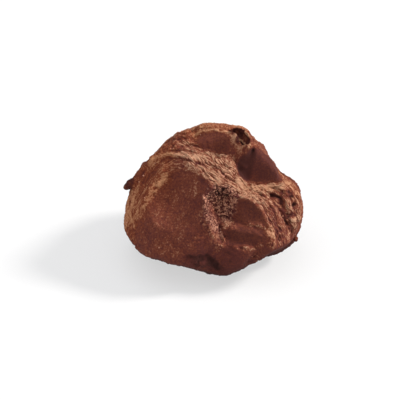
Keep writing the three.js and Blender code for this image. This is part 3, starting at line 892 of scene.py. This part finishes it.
def white_card(lie, glow):
    """Matt white card, lying or standing."""
    # Card has no gloss, so the floor mirrors nothing. Its glow stands for the light of the studio all round,
    # and leaves the truffle only a faint, soft shadow.
    material = bpy.data.materials.new("white card, matt, " + lie)
    material.use_nodes = True
    shader = material.node_tree.nodes["Principled BSDF"]
    shader.inputs["Base Color"].default_value = linear("#959596")
    shader.inputs["Emission Color"].default_value = linear("#ffffff")
    shader.inputs["Emission Strength"].default_value = glow
    shader.inputs["Roughness"].default_value = 0.9
    shader.inputs["Specular IOR Level"].default_value = 0.1
    return material


def length(name, description, size):
    """A property of the truffle that holds a length, given in mm."""
    return bpy.props.FloatProperty(name=name, description=description, default=size * MM, unit="LENGTH")


def colour(name, description, hex_colour):
    """A property of the truffle that holds a colour, given as an sRGB hex colour."""
    return bpy.props.FloatVectorProperty(name=name, description=description, size=3, subtype="COLOR",
                                         default=linear(hex_colour)[:3])


class TruffleSizes(bpy.types.PropertyGroup):
    """Sizes of the powder coat's relief and of its loose grains."""

    levels: bpy.props.IntProperty(name="Detail levels", description="How often each face is split",
                                  default=2, min=0, max=2)
    rounding: bpy.props.IntProperty(name="Rounding", description="Steps that round the facets", default=3)
    clump: length("Clump size", "Size of the powder's clumps", 1.6)
    clump_height: length("Clump height", "Height of the clumps", 0.4)
    grain: length("Grain size", "Size of the coarse grains", 0.6)
    grain_height: length("Grain height", "Height of the coarse grains", 0.7)
    drag_height: length("Drag height", "Height of the drag marks", 0.22)
    crumb: length("Crumb size", "Size of the torn crumbs", 0.45)
    crumb_height: length("Crumb height", "Height of the torn crumbs", 0.5)
    loose_smallest: length("Smallest loose grain", "Radius of the smallest loose grains", 0.07)
    loose_largest: length("Largest loose grain", "Radius of the largest loose grains", 0.19)
    loose_density: bpy.props.FloatProperty(name="Loose grains", default=9e6,
                                           description="Loose grains on a square metre of torn crumbs")
    seed: bpy.props.IntProperty(name="Seed", description="Seed of the relief and the scattering", default=7)


class TruffleColours(bpy.types.PropertyGroup):
    """Colours of the powder, the crumbs and the ganache, linear."""

    powder: colour("Thick powder", "Dry powder lying thick", "#b4876c")
    middle: colour("Thin powder", "Powder lying thin", "#763d2b")
    pressed: colour("Pressed powder", "Powder pressed into ganache", "#592c28")
    # Bare ganache is also the colour of painted shade: near the floor, on faces that look down, and in
    # chinks, grooves, pits and hollows.
    deep: colour("Bare ganache", "Ganache at the bottom of pits", "#341a17")
    crumb: colour("Crumbs", "Dry crumbs of torn ganache", "#c28a72")
    warm: colour("Warm tint", "Tint of powder rich in cocoa butter", "#fff0da")


class TRUFFLE_OT_body(bpy.types.Operator):
    """The lump itself with its coat of cocoa powder"""

    bl_idname = "truffle.body"
    bl_label = "Coated lump"

    def execute(self, context):
        sizes = context.scene.truffle_sizes
        powder = cocoa_powder(context.scene.truffle_colours)
        body = new_object("truffle_body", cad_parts[NODE].data.copy())
        mesh = grow(body, fine_tree(), {"Gap": WELD * MM, "Levels": sizes.levels,
                                        "Rounding": sizes.rounding, "Material": powder})
        coat = Coat(Lump(mesh))
        relief = coat.relief()
        keep(mesh, relief)
        mesh = grow(body, coat_tree(), {
            "Clump size": sizes.clump, "Clump height": sizes.clump_height, "Grain size": sizes.grain,
            "Grain height": sizes.grain_height, "Drag height": sizes.drag_height,
            "Crumb size": sizes.crumb, "Crumb height": sizes.crumb_height, "Seed": sizes.seed,
            "Material": powder})
        fine = fine_relief(mesh, relief["mark"], coat.lump.links)
        keep(mesh, {"dust_and_painted_light": coat.dust_and_painted_light(fine), "deep": coat.bare_and_painted_shade(fine), "warm": coat.tint(),
                    "loose": coat.loose()})
        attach(body, BODY)
        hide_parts(NODE)
        return {"FINISHED"}


class TRUFFLE_OT_grains(bpy.types.Operator):
    """Loose grains of cocoa that lie on the coat"""

    bl_idname = "truffle.grains"
    bl_label = "Loose grains"

    def execute(self, context):
        sizes = context.scene.truffle_sizes
        grains = new_object("cocoa_grains", bpy.data.objects["truffle_body"].data.copy())
        grow(grains, grains_tree(), {
            "Grains per square metre": sizes.loose_density, "Smallest": sizes.loose_smallest,
            "Largest": sizes.loose_largest, "Seed": sizes.seed,
            "Material": loose_cocoa(context.scene.truffle_colours)})
        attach(grains, BODY)
        return {"FINISHED"}


def lay_floor():
    """The floor, with the low rim that stands round it."""
    half, rise = FLOOR_HALF, FLOOR_RISE
    corners = ((-half, -half), (half, -half), (half, half), (-half, half))
    mesh = bpy.data.meshes.new("floor")
    mesh.from_pydata([(x, y, z) for z in (0, rise) for x, y in corners], [],
                     [(0, 1, 2, 3), (0, 4, 5, 1), (1, 5, 6, 2), (2, 6, 7, 3), (3, 7, 4, 0)])
    mesh.materials.append(white_card("lying flat", FLAT_GLOW))
    mesh.materials.append(white_card("standing", STANDING_GLOW))
    # The first face lies flat, and the other four stand.
    mesh.polygons.foreach_set("material_index", (0, 1, 1, 1, 1))
    return new_object("floor", mesh)


def hang_lamps():
    """A warm key lamp from the right, and a wide, cool one overhead."""
    for name, (towards, angle, strength, shade) in LAMPS.items():
        light = bpy.data.lights.new(name, "SUN")
        light.angle = math.radians(angle)
        light.energy = strength
        light.color = linear(shade)[:3]
        lamp = new_object(name, light)
        lamp.rotation_mode = "QUATERNION"
        lamp.rotation_quaternion = Vector(towards).to_track_quat("Z", "Y")
        lamp.location = Vector(towards).normalized() * LAMP_DISTANCE


def light_studio(scene):
    """An even white studio all round."""
    world = bpy.data.worlds.new("studio")
    scene.world = world
    world.use_nodes = True
    studio = world.node_tree.nodes["Background"]
    studio.inputs["Color"].default_value = linear("#ffffff")
    studio.inputs["Strength"].default_value = STUDIO_STRENGTH
    scene.view_settings.view_transform = "Standard"


def place_camera(scene):
    """The camera, which looks down on the truffle's front."""
    towards = Vector((0, -math.cos(CAMERA_TILT), math.sin(CAMERA_TILT)))
    right = Vector((1, 0, 0))
    up = Vector((0, math.sin(CAMERA_TILT), math.cos(CAMERA_TILT)))
    target = Vector(HEART) + right * (AIM_RIGHT / PIXELS_PER_MM * MM) + up * (AIM_UP / PIXELS_PER_MM * MM)
    lens = bpy.data.cameras.new("camera")
    lens.sensor_width = SENSOR
    lens.lens = SENSOR * CAMERA_DISTANCE / (PICTURE_WIDTH / PIXELS_PER_MM * MM)
    lens.clip_start = CLIP_START
    camera = new_object("camera", lens)
    camera.location = target + towards * CAMERA_DISTANCE
    camera.rotation_mode = "QUATERNION"
    camera.rotation_quaternion = towards.to_track_quat("Z", "Y")
    scene.camera = camera


class TRUFFLE_OT_stage(bpy.types.Operator):
    """Pale floor, soft lights, surroundings and the camera"""

    bl_idname = "truffle.stage"
    bl_label = "Stage"

    def execute(self, context):
        floor = lay_floor()
        hang_lamps()
        light_studio(context.scene)
        place_camera(context.scene)
        return {"FINISHED"}


OPERATORS = (TRUFFLE_OT_stage, TRUFFLE_OT_body, TRUFFLE_OT_grains)


class VIEW3D_PT_truffle(bpy.types.Panel):
    """The truffle's sizes and colours, and the operators that make its pieces and its stage"""

    bl_label = "Cocoa truffle"
    bl_idname = "VIEW3D_PT_truffle"
    bl_space_type = "VIEW_3D"
    bl_region_type = "UI"
    bl_category = "Truffle"

    def draw(self, context):
        for group in (context.scene.truffle_sizes, context.scene.truffle_colours):
            for name in group.__annotations__:
                self.layout.prop(group, name)
        for operator in OPERATORS:
            self.layout.operator(operator.bl_idname)


CLASSES = (TruffleSizes, TruffleColours) + OPERATORS + (VIEW3D_PT_truffle,)


def register():
    """Registers the classes, and gives a scene its sizes and colours."""
    for kind in CLASSES:
        bpy.utils.register_class(kind)
    bpy.types.Scene.truffle_sizes = bpy.props.PointerProperty(type=TruffleSizes)
    bpy.types.Scene.truffle_colours = bpy.props.PointerProperty(type=TruffleColours)


def unregister():
    """Takes back all that register did."""
    del bpy.types.Scene.truffle_colours
    del bpy.types.Scene.truffle_sizes
    for kind in reversed(CLASSES):
        bpy.utils.unregister_class(kind)


def main():
    """Makes the stage and the pieces."""
    register()
    for operator in OPERATORS:
        group, name = operator.bl_idname.split(".")
        getattr(getattr(bpy.ops, group), name)()


if __name__ == "__main__":
    main()
